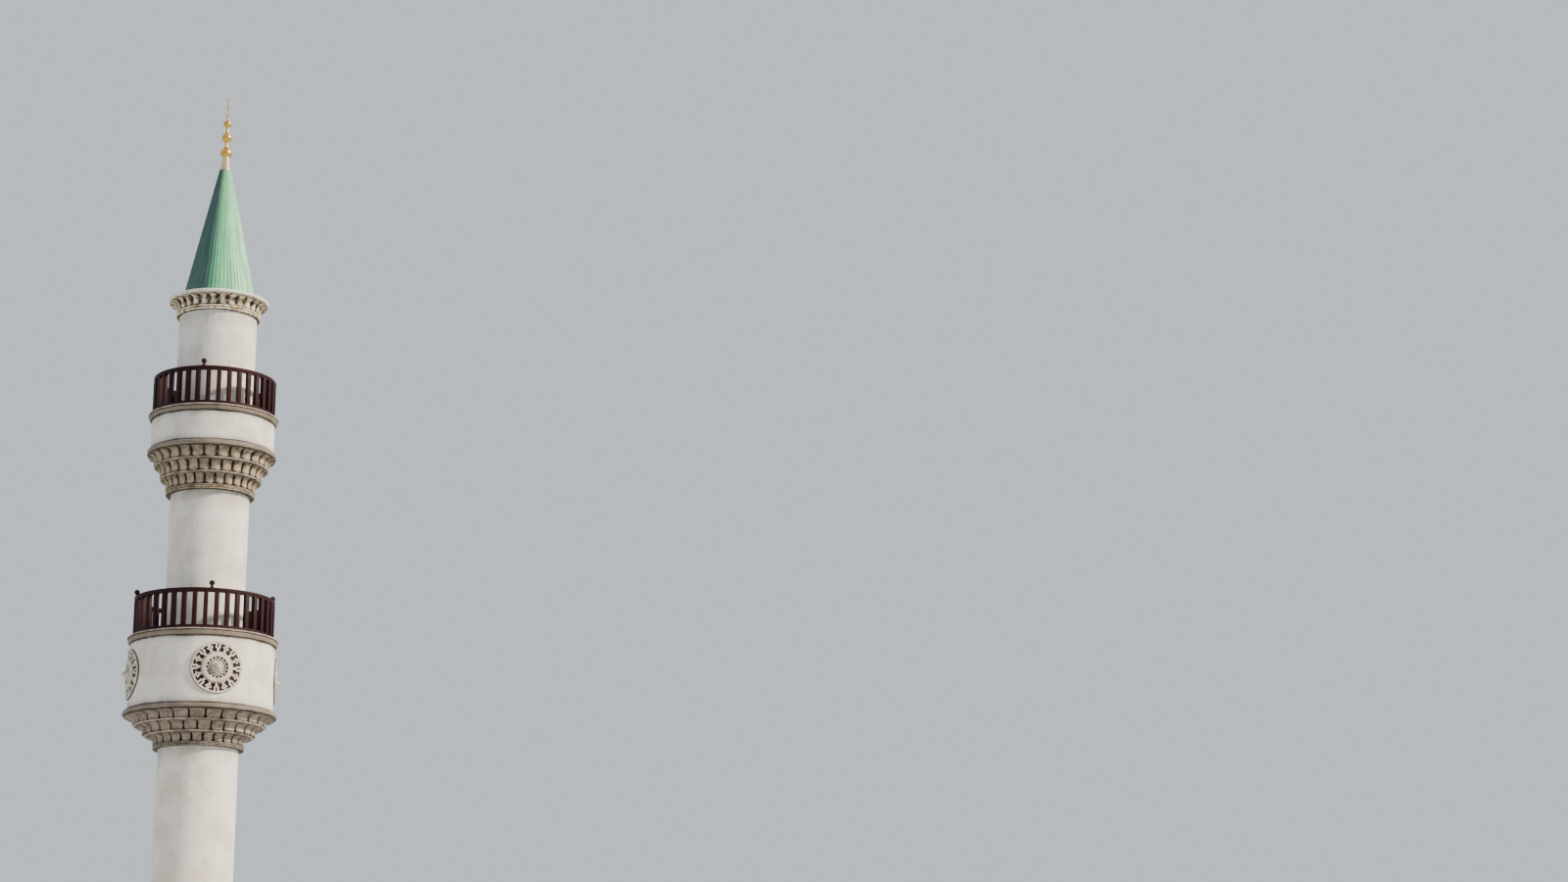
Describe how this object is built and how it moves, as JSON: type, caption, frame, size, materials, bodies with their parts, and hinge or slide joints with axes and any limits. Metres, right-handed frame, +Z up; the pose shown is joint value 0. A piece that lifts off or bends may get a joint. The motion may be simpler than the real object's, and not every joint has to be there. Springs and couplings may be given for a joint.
{
  "type": "minaret",
  "caption": "Slender round minaret with corbelled balconies, timber railings, a seamed metal spire and a gilt crescent finial.",
  "frame": {"origin": "centre of the base slab's underside, at ground level on the shaft's axis", "axes": "+Z up along the shaft, -Y towards the front that the picture shows, +X to the right of it"},
  "size_m": [3.9826, 3.9826, 26.12],
  "materials": {
    "wall_plaster": "matt off-white lime render, grey with age",
    "corbel_stone": "matt beige rendered stone with soot in the hollows",
    "moulding_stone": "matt grey-beige rendered moulding",
    "medallion_plaster": "carved plaster over a dark red-brown ground",
    "cornice_slab_plaster": "matt cream-white rendered slab",
    "railing_paint": "dull dark maroon paint on timber",
    "roof_metal": "green weathered standing-seam metal",
    "gilt": "polished gilt metal"
  },
  "bodies": {
    "root": {"base_slab": "wall_plaster", "shaft_front": "wall_plaster", "shaft_right": "wall_plaster", "shaft_left": "wall_plaster", "shaft_rear_lower": "wall_plaster", "shaft_rear_middle": "wall_plaster", "shaft_rear_upper": "wall_plaster", "ground_door_left_jamb": "wall_plaster", "ground_door_right_jamb": "wall_plaster", "lower_balcony_door_left_jamb": "wall_plaster", "lower_balcony_door_right_jamb": "wall_plaster", "upper_balcony_door_left_jamb": "wall_plaster", "upper_balcony_door_right_jamb": "wall_plaster", "lower_corbel_bottom_tier": "corbel_stone", "lower_corbel_middle_tier": "corbel_stone", "lower_corbel_top_tier": "corbel_stone", "lower_torus_moulding": "moulding_stone", "lower_drum": "wall_plaster", "lower_deck": "moulding_stone", "lower_railing_right": "railing_paint", "lower_railing_rear": "railing_paint", "lower_railing_left": "railing_paint", "lower_railing_front": "railing_paint", "upper_corbel_bottom_tier": "corbel_stone", "upper_corbel_middle_tier": "corbel_stone", "upper_corbel_top_tier": "corbel_stone", "upper_torus_moulding": "moulding_stone", "upper_drum": "wall_plaster", "upper_deck": "moulding_stone", "upper_railing_right": "railing_paint", "upper_railing_rear": "railing_paint", "upper_railing_left": "railing_paint", "upper_railing_front": "railing_paint", "lower_medallion_front": "medallion_plaster", "lower_medallion_right": "medallion_plaster", "lower_medallion_rear": "medallion_plaster", "lower_medallion_left": "medallion_plaster", "cornice_corbels": "corbel_stone", "cornice_slab": "cornice_slab_plaster", "spire_cone": "roof_metal", "finial_neck": "gilt", "finial_large_ball": "gilt", "finial_middle_ball": "gilt", "finial_small_ball": "gilt", "finial_crescent": "gilt"}
  },
  "joints": []
}
